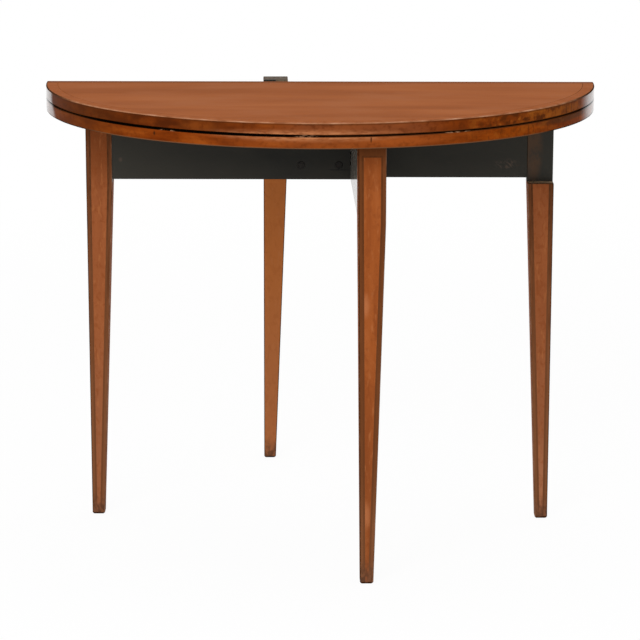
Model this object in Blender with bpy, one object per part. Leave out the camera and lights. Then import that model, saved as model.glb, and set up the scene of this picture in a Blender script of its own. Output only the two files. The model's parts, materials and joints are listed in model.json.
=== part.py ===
"""Half-round fold-over card table on a double-gate frame.

Two rails are lapped face to face in the middle and dowelled. Each rail is tenoned into a fixed leg at
one end and finishes in a wooden knuckle at the other, where a gate with its own leg swings on a vertical
pin. The lower leaf is screwed down on the rails. The upper leaf folds over on brass hinges at the ends of
the straight back edge. The table stands as it is shown: top folded, both gates open a little short of
square to the rails.

Metres, +X to the right, +Y away from the front, +Z up, floor at z = 0. The origin lies on the floor
under the middle of the standing table.
"""

import math

import bmesh
import bpy
from mathutils import Matrix, Vector

# Top
TABLE_HEIGHT = 0.737
TOP_RADIUS = 0.450
LEAF_THICKNESS = 0.0195
LEAF_GAP = 0.001
LEAF_BACK_CLEARANCE = 0.0003
LEAF_ARRIS = 0.0012
ROUND_TOP_STEPS = 128

# Rails and their tenons
RAIL_HEIGHT = 0.116
TENON_SHOULDER = 0.007
TENON_LENGTH = 0.028

# Legs
LEG_SIZE = 0.043
FOOT_SIZE = 0.021
FOOT_BEVEL = 0.0026
FRONT_LEG_OUTER_TAPER = 0.006
LEG_SET_IN = 0.065
LEDGE_DROP = 0.006
FRAME_BACK_INSET = 0.001

# Wooden knuckles
KNUCKLE_X = 0.0606
GATE_SHORT_OF_SQUARE = 1.15
KNUCKLE_FINGERS = 5
KNUCKLE_ROUNDING_STEPS = 8
ROUNDING_SHORT = 0.00001
KNUCKLE_PIN_RADIUS = 0.003
KNUCKLE_PIN_SETBACK = 0.001

# Dowels through the lap of the rails
DOWEL_RADIUS = 0.006
DOWEL_X = 0.031
DOWEL_EDGE_DISTANCE = 0.024

# Screws that hold the lower leaf down
TOP_SCREW_HEAD_RADIUS = 0.0045
TOP_SCREW_HEAD_HEIGHT = 0.003
TOP_SCREW_SHANK_RADIUS = 0.00225
TOP_SCREW_RAIL_DEPTH = 0.030
TOP_SCREW_LEAF_DEPTH = 0.012
TOP_SCREW_DISTANCES = (0.150, 0.330)

# Brass hinges
HINGE_PLATE_LENGTH = 0.038
HINGE_PLATE_HEIGHT = 0.009
HINGE_PLATE_LIP = 0.001
HINGE_PLATE_DEPTH = 0.0045
HINGE_EYE_RADIUS = 0.0045
HINGE_PIN_RADIUS = 0.0015
HINGE_SCREW_DISTANCES = (0.013, 0.030)
HINGE_SCREW_HEAD_RADIUS = 0.0026
HINGE_SCREW_HEAD_HEIGHT = 0.0014
HINGE_SCREW_SHANK_RADIUS = 0.0012
HINGE_SCREW_LENGTH = 0.014

# Clearances
SEAT_GAP = 0.0003
LAYER_GAP = 0.0003
KNUCKLE_CLEARANCE = 0.0006
FINGER_GAP = 0.0005
PIN_CLEARANCE = 0.0002
GATE_TOP_CLEARANCE = 0.001
GATE_LEG_CLEARANCE = 0.002
CUT_PAST = 0.002

# Facets of small round pieces
ROD_STEPS = 24
SCREW_STEPS = 12

# Finishes: colour, roughness, metallic
POLISHED_TOP = ((0.270, 0.083, 0.027, 1.0), 0.32, 0.0)
POLISHED_LEG = ((0.300, 0.098, 0.028, 1.0), 0.38, 0.0)
EBONISED_RAIL = ((0.017, 0.017, 0.016, 1.0), 0.55, 0.0)
BARE_DOWEL = ((0.060, 0.040, 0.026, 1.0), 0.65, 0.0)
OLD_BRASS = ((0.430, 0.290, 0.110, 1.0), 0.40, 1.0)
OLD_IRON = ((0.110, 0.100, 0.095, 1.0), 0.55, 1.0)

# Heights
HINGE_Z = TABLE_HEIGHT - LEAF_THICKNESS - LEAF_GAP / 2
UNDERSIDE_Z = TABLE_HEIGHT - 2 * LEAF_THICKNESS - LEAF_GAP
FRAME_TOP_Z = UNDERSIDE_Z - SEAT_GAP
GATE_TOP_Z = UNDERSIDE_Z - GATE_TOP_CLEARANCE
RAIL_BOTTOM_Z = FRAME_TOP_Z - RAIL_HEIGHT
LEDGE_Z = RAIL_BOTTOM_Z - LEDGE_DROP

# Plan: two rail layers share one leg thickness, and a closed gate leg stands just outside a fixed leg
LEG_OUTER_X = TOP_RADIUS - LEG_SET_IN
RAIL_THICKNESS = (LEG_SIZE - LAYER_GAP) / 2
RAIL_HALF = RAIL_THICKNESS / 2
LAYER_OFFSET = (RAIL_THICKNESS + LAYER_GAP) / 2
GATE_REACH = LEG_OUTER_X + GATE_LEG_CLEARANCE + LEG_SIZE - KNUCKLE_X
MID_FROM_HINGE = -FRAME_BACK_INSET - LEG_SIZE / 2
GATE_TURN = 90 - GATE_SHORT_OF_SQUARE
GATE_ALONG = math.sin(math.radians(GATE_TURN))
GATE_ASIDE = math.cos(math.radians(GATE_TURN))
REAR_REACH = MID_FROM_HINGE + LAYER_OFFSET + GATE_REACH * GATE_ALONG + RAIL_HALF * GATE_ASIDE
HINGE_Y = (TOP_RADIUS - REAR_REACH) / 2
MID_Y = HINGE_Y + MID_FROM_HINGE
FRONT_LAYER_Y = MID_Y - LAYER_OFFSET
BACK_LAYER_Y = MID_Y + LAYER_OFFSET
LEG_TAPER = LEG_SIZE - FOOT_SIZE
FINGER_HEIGHT = RAIL_HEIGHT / KNUCKLE_FINGERS

X_AXIS = Vector((1.0, 0.0, 0.0))
Y_AXIS = Vector((0.0, 1.0, 0.0))
Z_AXIS = Vector((0.0, 0.0, 1.0))
HINGE_POINT = Vector((0.0, HINGE_Y, HINGE_Z))


def clear_scene():
    for old in list(bpy.data.objects):
        bpy.data.objects.remove(old, do_unlink=True)


def new_collection(name):
    collection = bpy.data.collections.new(name)
    bpy.context.scene.collection.children.link(collection)
    return collection


def new_axis(name, location, turn_degrees=0.0):
    """An empty that carries the pieces of one joint."""
    axis = bpy.data.objects.new(name, None)
    axis.empty_display_size = 0.05
    axis.location = location
    axis.rotation_euler.z = math.radians(turn_degrees)
    PARTS.objects.link(axis)
    return axis


def object_from(name, bm, collection, parent=None):
    mesh = bpy.data.meshes.new(name)
    bm.to_mesh(mesh)
    bm.free()
    made = bpy.data.objects.new(name, mesh)
    made.parent = parent
    collection.objects.link(made)
    return made


def new_part(name, bm, finish, parent=None):
    part = object_from(name, bm, PARTS, parent)
    part.data.shade_smooth()
    part.data.set_sharp_from_angle(angle=math.radians(30))
    colour, roughness, metallic = finish
    material = bpy.data.materials.new(name + "_finish")
    material.use_nodes = True
    shader = material.node_tree.nodes["Principled BSDF"]
    shader.inputs["Base Color"].default_value = colour
    shader.inputs["Roughness"].default_value = roughness
    shader.inputs["Metallic"].default_value = metallic
    part.data.materials.append(material)
    return part


def new_cutter(name, bm, parent=None):
    cutter = object_from(name, bm, CUTTERS, parent)
    cutter.hide_render = True
    cutter.display_type = "WIRE"
    return cutter


def combine(part, other, operation="DIFFERENCE", solver="EXACT"):
    modifier = part.modifiers.new(other.name, "BOOLEAN")
    modifier.operation = operation
    modifier.solver = solver
    modifier.object = other


def add_box(bm, low, high):
    low = Vector(low)
    high = Vector(high)
    size = high - low
    place = Matrix.Translation((low + high) / 2) @ Matrix.Diagonal((*size, 1.0))
    return bmesh.ops.create_cube(bm, size=1.0, matrix=place)["verts"]


def add_cone(bm, start, direction, length, start_radius, end_radius, steps):
    turn = Z_AXIS.rotation_difference(direction).to_matrix().to_4x4()
    place = Matrix.Translation(Vector(start) + direction * length / 2) @ turn
    cone = bmesh.ops.create_cone(
        bm, cap_ends=True, segments=steps, radius1=start_radius, radius2=end_radius,
        depth=length, matrix=place)
    return cone["verts"]


def add_rod(bm, start, direction, length, radius, steps=ROD_STEPS):
    return add_cone(bm, start, direction, length, radius, radius, steps)


def box_shape(low, high):
    bm = bmesh.new()
    add_box(bm, low, high)
    return bm


def rod_shape(start, direction, length, radius, steps=ROD_STEPS):
    bm = bmesh.new()
    add_rod(bm, start, direction, length, radius, steps)
    return bm


def face_towards(bm, direction):
    """The face that lies furthest along a direction."""
    return max(bm.faces, key=lambda face: face.calc_center_median().dot(direction))


def extrude_face(bm, face, offset):
    moved = bmesh.ops.extrude_discrete_faces(bm, faces=[face])["faces"][0]
    bmesh.ops.translate(bm, verts=moved.verts, vec=offset)
    return moved


def add_screw(bm, head, direction, sizes, grow=0.0, lead=0.0):
    """A countersunk screw, or its bore when it is grown and given a lead past the head."""
    head_radius, head_height, shank_radius, length = sizes
    verts = add_cone(bm, head, direction, head_height, head_radius + grow, shank_radius + grow, SCREW_STEPS)
    caps = [face for face in {f for v in verts for f in v.link_faces} if len(face.verts) > 4]
    caps.sort(key=lambda face: face.calc_center_median().dot(direction))
    extrude_face(bm, caps[1], direction * (length - head_height + grow))
    if lead > 0.0:
        extrude_face(bm, caps[0], -direction * lead)


# Half-round leaves

def new_leaf(name, level):
    """The upper leaf has level +1 and the lower leaf -1; both are drawn about the hinge line."""
    bm = bmesh.new()
    near = level * LEAF_GAP / 2
    add_rod(bm, Z_AXIS * near, Z_AXIS * level, LEAF_THICKNESS, TOP_RADIUS, ROUND_TOP_STEPS)
    everything = bm.verts[:] + bm.edges[:] + bm.faces[:]
    split = bmesh.ops.bisect_plane(
        bm, geom=everything, plane_co=(0.0, -LEAF_BACK_CLEARANCE, 0.0), plane_no=Y_AXIS, clear_outer=True)
    cut_edges = [item for item in split["geom_cut"] if isinstance(item, bmesh.types.BMEdge)]
    bmesh.ops.edgeloop_fill(bm, edges=cut_edges)
    bmesh.ops.recalc_face_normals(bm, faces=bm.faces)
    arrises = [edge for edge in bm.edges if edge.calc_face_angle(0.0) > math.radians(45)]
    bmesh.ops.bevel(
        bm, geom=arrises, offset=LEAF_ARRIS, affect="EDGES", segments=2, profile=0.5, material=-1,
        clamp_overlap=True)
    return new_part(name, bm, POLISHED_TOP, HINGE_AXIS)


# Rails with knuckles

def round_uprights(bm, corners, radius):
    """Rounds the upright edges that stand at these corners of the plan."""
    edges = [
        edge for edge in bm.edges
        if all(min((vert.co.xy - corner).length for corner in corners) < ROUNDING_SHORT for vert in edge.verts)]
    bmesh.ops.bevel(
        bm, geom=edges, offset=radius - ROUNDING_SHORT, affect="EDGES", segments=KNUCKLE_ROUNDING_STEPS,
        profile=0.5, material=-1)


def new_rail(name, axis, way, shoulder, top_z, open_fingers):
    """A rail along its axis frame's X: way +1 or -1, tenon past the shoulder, round knuckle at the axis."""
    bm = bmesh.new()
    low_x = min(-way * RAIL_HALF, way * shoulder)
    high_x = max(-way * RAIL_HALF, way * shoulder)
    add_box(bm, (low_x, -RAIL_HALF, RAIL_BOTTOM_Z), (high_x, RAIL_HALF, top_z))
    end = face_towards(bm, X_AXIS * way)
    bmesh.ops.inset_region(bm, faces=[end], thickness=TENON_SHOULDER, use_even_offset=True)
    extrude_face(bm, end, X_AXIS * way * (SEAT_GAP + TENON_LENGTH))
    end_x = -way * RAIL_HALF
    round_uprights(bm, [Vector((end_x, -RAIL_HALF)), Vector((end_x, RAIL_HALF))], RAIL_HALF)
    rail = new_part(name, bm, EBONISED_RAIL, axis)

    reach = RAIL_HALF + KNUCKLE_CLEARANCE
    for finger in open_fingers:
        low_z = RAIL_BOTTOM_Z + finger * FINGER_HEIGHT - FINGER_GAP / 2
        high_z = low_z + FINGER_HEIGHT + FINGER_GAP
        if finger == 0:
            low_z -= CUT_PAST
        if finger == KNUCKLE_FINGERS - 1:
            high_z += CUT_PAST
        ends = sorted((-way * (RAIL_HALF + CUT_PAST), way * reach))
        cove = box_shape((ends[0], -RAIL_HALF - CUT_PAST, low_z), (ends[1], reach, high_z))
        round_uprights(cove, [Vector((way * reach, reach))], reach)
        combine(rail, new_cutter(f"{name}_cove_{finger}", cove, axis))
    bore = rod_shape(
        Z_AXIS * (RAIL_BOTTOM_Z - CUT_PAST), Z_AXIS, RAIL_HEIGHT + 2 * CUT_PAST,
        KNUCKLE_PIN_RADIUS + PIN_CLEARANCE)
    combine(rail, new_cutter(f"{name}_pin_bore", bore, axis))
    return rail


def new_knuckle_pin(name, axis):
    length = RAIL_HEIGHT - 2 * KNUCKLE_PIN_SETBACK
    pin = rod_shape(Z_AXIS * (RAIL_BOTTOM_Z + KNUCKLE_PIN_SETBACK), Z_AXIS, length, KNUCKLE_PIN_RADIUS)
    return new_part(name, pin, OLD_IRON, axis)


# Tapered legs

def new_leg(name, axis, low_x, top_z, taper_shares):
    """A square block with a tapered leg below; taper_shares are the shares cut from the -X and -Y sides."""
    low = Vector((low_x, -RAIL_HALF, LEDGE_Z))
    bm = box_shape(low, (low.x + LEG_SIZE, low.y + LEG_SIZE, top_z))
    foot = extrude_face(bm, face_towards(bm, -Z_AXIS), -Z_AXIS * LEDGE_Z)
    share_x, share_y = taper_shares
    plumb_point = low + Vector((LEG_SIZE * share_x, LEG_SIZE * share_y, 0.0))
    shrink = FOOT_SIZE / LEG_SIZE
    bmesh.ops.scale(
        bm, verts=foot.verts, vec=(shrink, shrink, 1.0), space=Matrix.Translation(-plumb_point))
    bmesh.ops.bevel(
        bm, geom=list(foot.edges), offset=FOOT_BEVEL, affect="EDGES", segments=1, profile=0.5, material=-1)
    return new_part(name, bm, POLISHED_LEG, axis)


def cut_mortise(leg, axis, way, face_x, top_z):
    """A pocket for the rail's tenon, in from the leg's inner face."""
    ends = sorted((face_x - way * CUT_PAST, face_x + way * (TENON_LENGTH + SEAT_GAP)))
    half = RAIL_HALF - TENON_SHOULDER + SEAT_GAP
    inset = TENON_SHOULDER - SEAT_GAP
    pocket = box_shape((ends[0], -half, RAIL_BOTTOM_Z + inset), (ends[1], half, top_z - inset))
    combine(leg, new_cutter(leg.name + "_mortise", pocket, axis))


def new_fixed_side(side, axis, open_fingers):
    """A rail and its fixed leg, whose far half is cut away for the gate rail that closes past it."""
    inner = KNUCKLE_X + LEG_OUTER_X - LEG_SIZE
    rail = new_rail(side + "_rail", axis, -1, inner - SEAT_GAP, FRAME_TOP_Z, open_fingers)
    leg = new_leg(side + "_leg", axis, -inner - LEG_SIZE, FRAME_TOP_Z, (0.0, 1.0))
    rabbet = box_shape(
        (-inner - LEG_SIZE - CUT_PAST, RAIL_HALF, LEDGE_Z),
        (-inner + CUT_PAST, RAIL_HALF + LEG_SIZE, FRAME_TOP_Z + CUT_PAST))
    combine(leg, new_cutter(side + "_leg_rabbet", rabbet, axis))
    cut_mortise(leg, axis, -1, -inner, FRAME_TOP_Z)
    return rail, leg


def new_gate(side, axis, open_fingers, outer_share):
    """A gate rail and its leg, drawn along +X as the gate lies when closed."""
    inner = GATE_REACH - LEG_SIZE
    rail = new_rail(side + "_gate_rail", axis, 1, inner - SEAT_GAP, GATE_TOP_Z, open_fingers)
    leg = new_leg(side + "_leg", axis, inner, GATE_TOP_Z, (1.0, outer_share))
    cut_mortise(leg, axis, 1, inner, GATE_TOP_Z)
    return rail, leg


# Dowels through the lap

def new_dowel(name, x, z, bores):
    """A dowel flush with both faces of the lapped rails; its bore is added to the shape of all the bores."""
    start_y = MID_Y - LEG_SIZE / 2
    new_part(name, rod_shape((x, start_y, z), Y_AXIS, LEG_SIZE, DOWEL_RADIUS), BARE_DOWEL)
    add_rod(bores, (x, start_y - CUT_PAST, z), Y_AXIS, LEG_SIZE + 2 * CUT_PAST, DOWEL_RADIUS + SEAT_GAP)


# Screws

def new_screw(name, head, direction, sizes, lead, finish, parent=None):
    """A screw, and the cutter for its bore with a countersink that opens past the head."""
    shape = bmesh.new()
    add_screw(shape, head, direction, sizes)
    new_part(name, shape, finish, parent)
    bore = bmesh.new()
    add_screw(bore, head, direction, sizes, SEAT_GAP, lead)
    return new_cutter(name + "_bore", bore, parent)


def new_top_screw(name, x, y):
    """A screw deep in a counterbore from the rail's lower edge, up into the lower leaf."""
    sizes = (TOP_SCREW_HEAD_RADIUS, TOP_SCREW_HEAD_HEIGHT, TOP_SCREW_SHANK_RADIUS,
             TOP_SCREW_RAIL_DEPTH + SEAT_GAP + TOP_SCREW_LEAF_DEPTH)
    counterbore = RAIL_HEIGHT - TOP_SCREW_RAIL_DEPTH + CUT_PAST
    seat = (x, y, FRAME_TOP_Z - TOP_SCREW_RAIL_DEPTH)
    return new_screw(name, seat, Z_AXIS, sizes, counterbore, OLD_IRON)


# Brass hinges, drawn about the hinge line; side is +1 right or -1 left, level +1 upper or -1 lower

def plate_box(side, level, back_y, grow=0.0):
    inner_x = side * (TOP_RADIUS - HINGE_PLATE_DEPTH - grow)
    outer_x = side * (TOP_RADIUS + CUT_PAST)
    low_z = level * (LEAF_GAP / 2 + HINGE_PLATE_LIP - grow)
    high_z = level * (LEAF_GAP / 2 + HINGE_PLATE_LIP + HINGE_PLATE_HEIGHT + grow)
    xs = sorted((inner_x, outer_x))
    zs = sorted((low_z, high_z))
    return box_shape((xs[0], -HINGE_PLATE_LENGTH - grow, zs[0]), (xs[1], back_y, zs[1]))


def hinge_rod(side, from_depth, to_depth, radius):
    """A rod on the hinge line between two depths in from the end of the leaf."""
    start = X_AXIS * side * (TOP_RADIUS - from_depth)
    return rod_shape(start, X_AXIS * side, from_depth - to_depth, radius)


def new_hinge_plate(name, side, level, rim):
    eye_thickness = (HINGE_PLATE_DEPTH - SEAT_GAP) / 2
    plate = new_part(name, plate_box(side, level, -LEAF_BACK_CLEARANCE), OLD_BRASS, HINGE_AXIS)
    eye = hinge_rod(side, HINGE_PLATE_DEPTH, 0.0, HINGE_EYE_RADIUS)
    combine(plate, new_cutter(name + "_eye", eye, HINGE_AXIS), "UNION")
    combine(plate, rim, "INTERSECT")
    spare = (HINGE_PLATE_DEPTH + CUT_PAST, eye_thickness)
    if level < 0:
        spare = (HINGE_PLATE_DEPTH - eye_thickness, -CUT_PAST)
    lap = hinge_rod(side, spare[0], spare[1], HINGE_EYE_RADIUS + SEAT_GAP)
    combine(plate, new_cutter(name + "_lap", lap, HINGE_AXIS))
    bore = hinge_rod(side, HINGE_PLATE_DEPTH + CUT_PAST, -CUT_PAST, HINGE_PIN_RADIUS + PIN_CLEARANCE)
    combine(plate, new_cutter(name + "_pin_bore", bore, HINGE_AXIS))
    return plate


def new_hinge_screw(name, side, level, distance):
    """A screw through the plate into the leaf, its head just under the rounded edge."""
    sizes = (HINGE_SCREW_HEAD_RADIUS, HINGE_SCREW_HEAD_HEIGHT, HINGE_SCREW_SHANK_RADIUS, HINGE_SCREW_LENGTH)
    face_x = math.sqrt(TOP_RADIUS ** 2 - (distance + HINGE_SCREW_HEAD_RADIUS) ** 2) - SEAT_GAP
    z = level * (LEAF_GAP / 2 + HINGE_PLATE_LIP + HINGE_PLATE_HEIGHT / 2)
    return new_screw(
        name, (side * face_x, -distance, z), X_AXIS * -side, sizes, CUT_PAST, OLD_BRASS, HINGE_AXIS)


clear_scene()
PARTS = new_collection("card_table")
CUTTERS = new_collection("cutters")

HINGE_AXIS = new_axis("hinge_axis", HINGE_POINT)
FRONT_KNUCKLE = (KNUCKLE_X, FRONT_LAYER_Y, 0.0)
REAR_KNUCKLE = (-KNUCKLE_X, BACK_LAYER_Y, 0.0)
LEFT_SIDE = new_axis("left_side", FRONT_KNUCKLE)
RIGHT_SIDE = new_axis("right_side", REAR_KNUCKLE, 180)
FRONT_GATE = new_axis("front_gate", FRONT_KNUCKLE, -GATE_TURN)
REAR_GATE = new_axis("rear_gate", REAR_KNUCKLE, 180 - GATE_TURN)

# Frame: each fixed rail keeps the outer fingers of its knuckle, each gate rail the ones between
FIXED_FINGERS = range(0, KNUCKLE_FINGERS, 2)
GATE_FINGERS = range(1, KNUCKLE_FINGERS, 2)
left_rail, left_leg = new_fixed_side("left", LEFT_SIDE, GATE_FINGERS)
right_rail, right_leg = new_fixed_side("right", RIGHT_SIDE, GATE_FINGERS)
new_gate("front", FRONT_GATE, FIXED_FINGERS, FRONT_LEG_OUTER_TAPER / LEG_TAPER)
new_gate("rear", REAR_GATE, FIXED_FINGERS, 1.0)
new_knuckle_pin("front_knuckle_pin", LEFT_SIDE)
new_knuckle_pin("rear_knuckle_pin", RIGHT_SIDE)

lap_bores = bmesh.new()
for x, hand in ((-DOWEL_X, "left"), (DOWEL_X, "right")):
    for z, height in (
            (RAIL_BOTTOM_Z + DOWEL_EDGE_DISTANCE, "lower"), (FRAME_TOP_Z - DOWEL_EDGE_DISTANCE, "upper")):
        new_dowel(f"{hand}_{height}_lap_dowel", x, z, lap_bores)
lap_cutter = new_cutter("lap_bores", lap_bores)
combine(left_rail, lap_cutter)
combine(right_rail, lap_cutter)

# Top
upper_leaf = new_leaf("upper_leaf", 1)
lower_leaf = new_leaf("lower_leaf", -1)
for distance, place in zip(TOP_SCREW_DISTANCES, ("inner", "outer")):
    for rail, hand, x, y in (
            (left_rail, "left", KNUCKLE_X - distance, FRONT_LAYER_Y),
            (right_rail, "right", distance - KNUCKLE_X, BACK_LAYER_Y)):
        screw_bore = new_top_screw(f"{hand}_{place}_top_screw", x, y)
        combine(rail, screw_bore, solver="MANIFOLD")
        combine(lower_leaf, screw_bore)

# Hinges at the two ends of the back edge
rim_start = -Z_AXIS * (LEAF_THICKNESS + LEAF_GAP)
rim_shape = rod_shape(rim_start, Z_AXIS, 2 * (LEAF_THICKNESS + LEAF_GAP), TOP_RADIUS, ROUND_TOP_STEPS)
rim = new_cutter("leaf_rim", rim_shape, HINGE_AXIS)
for side, hand in ((-1, "left"), (1, "right")):
    for level, height, leaf in ((1, "upper", upper_leaf), (-1, "lower", lower_leaf)):
        hinge = f"{hand}_hinge_{height}"
        plate = new_hinge_plate(hinge + "_plate", side, level, rim)
        bed = plate_box(side, level, CUT_PAST, SEAT_GAP)
        combine(leaf, new_cutter(hinge + "_bed", bed, HINGE_AXIS))
        notch = hinge_rod(
            side, HINGE_PLATE_DEPTH + 2 * SEAT_GAP, -CUT_PAST, HINGE_EYE_RADIUS + 2 * SEAT_GAP)
        combine(leaf, new_cutter(hinge + "_notch", notch, HINGE_AXIS))
        for distance, place in zip(HINGE_SCREW_DISTANCES, ("back", "front")):
            screw_bore = new_hinge_screw(f"{hinge}_{place}_screw", side, level, distance)
            combine(plate, screw_bore)
            combine(leaf, screw_bore)
    pin = hinge_rod(side, HINGE_PLATE_DEPTH, SEAT_GAP, HINGE_PIN_RADIUS)
    new_part(hand + "_hinge_pin", pin, OLD_BRASS, HINGE_AXIS)
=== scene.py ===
"""Looks of the half-round fold-over card table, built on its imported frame.

Metres, in the frame's own axes: +X to the right, +Y away from the front, +Z up, floor at z = 0.
"""

import json
import math

import bmesh
import bpy
from mathutils import Matrix, Vector

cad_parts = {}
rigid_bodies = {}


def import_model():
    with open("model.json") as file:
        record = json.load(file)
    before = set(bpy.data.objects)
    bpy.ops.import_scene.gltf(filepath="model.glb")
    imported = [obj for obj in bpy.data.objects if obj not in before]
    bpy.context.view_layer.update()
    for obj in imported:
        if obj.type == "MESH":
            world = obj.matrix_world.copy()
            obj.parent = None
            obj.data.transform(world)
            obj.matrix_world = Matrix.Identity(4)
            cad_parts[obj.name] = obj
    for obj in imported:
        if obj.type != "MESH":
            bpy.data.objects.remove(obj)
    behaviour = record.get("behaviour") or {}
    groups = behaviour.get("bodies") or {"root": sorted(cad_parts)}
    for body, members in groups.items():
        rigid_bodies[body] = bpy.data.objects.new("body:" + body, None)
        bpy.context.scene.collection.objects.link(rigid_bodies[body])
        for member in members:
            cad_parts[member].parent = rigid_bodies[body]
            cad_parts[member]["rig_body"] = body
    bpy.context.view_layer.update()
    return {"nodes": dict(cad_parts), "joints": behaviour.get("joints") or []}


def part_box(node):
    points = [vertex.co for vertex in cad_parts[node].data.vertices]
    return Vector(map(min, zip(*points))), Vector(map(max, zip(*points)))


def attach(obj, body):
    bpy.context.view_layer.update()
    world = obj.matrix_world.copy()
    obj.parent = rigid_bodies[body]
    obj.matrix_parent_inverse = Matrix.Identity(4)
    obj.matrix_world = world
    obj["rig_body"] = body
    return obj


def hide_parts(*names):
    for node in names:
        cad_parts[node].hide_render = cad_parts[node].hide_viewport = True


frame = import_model()

X_AXIS = Vector((1.0, 0.0, 0.0))
Y_AXIS = Vector((0.0, 1.0, 0.0))
Z_AXIS = Vector((0.0, 0.0, 1.0))
MERGE_DISTANCE = 0.00001
FLAT_ANGLE = math.radians(1)
SHARP_ANGLE = math.radians(35)
CORNER_ANGLE = math.radians(30)
RIM_ANGLE = math.radians(45)
FACING_SQUARELY = 0.9
FACING_PARTLY = 0.3
FACING_DOWN = -0.2
WHOLE = (1.0, 1.0, 1.0)
WHITE = (1.0, 1.0, 1.0, 1.0)
HAND = {-1: "left", 1: "right"}
LEVEL = {-1: "lower", 1: "upper"}

# Top, read from the frame
HINGE_POINT = Vector(next(j["pos_m"] for j in frame["joints"] if j["name"] == "leaf_fold"))
UPPER_LOW, UPPER_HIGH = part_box("upper_leaf")
LOWER_LOW, LOWER_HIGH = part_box("lower_leaf")
TOP_RADIUS = (UPPER_HIGH.x - UPPER_LOW.x) / 2
LEAF_BACK_Y = UPPER_HIGH.y
LEAF_STEPS = 180
ARRIS = 0.0018
ARRIS_STEPS = 4
CROSSBAND_WIDTH = 0.0185
TOP_LINE_WIDTH = 0.0013

# Hinge beds in the leaves
SEAT_GAP = 0.0003
CUT_PAST = 0.002
PLATE_LENGTH = 0.038
PLATE_DEPTH = 0.0045
PLATE_LIP = 0.001
PLATE_HEIGHT = 0.009
EYE_RADIUS = 0.0045
ROD_STEPS = 32
HINGE_SHANK_RADIUS = 0.0012
TOP_SHANK_RADIUS = 0.00225

# Legs
FRONT_FACE_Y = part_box("front_leg")[0].y
LEDGE_Z = 0.5747
STRING_INSET = 0.0052
STRING_WIDTH = 0.0030
LEG_ARRIS = 0.0013
LEG_ARRIS_STEPS = 2
CLOSING_LINE_DROP = 0.0163

# Small roundings of the dark frame and the fittings
RAIL_ARRIS = 0.0007
BRASS_ARRIS = 0.00025
EASED_STEPS = 2
EASED_ANGLE = math.radians(40)
SLOT_WIDTH = 0.0006
SLOT_DEPTH = 0.0005
SLOT_TURNS = (12, -31, 57, 84, -8, 40, 103, -66)


# Node helper for the finishes

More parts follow.
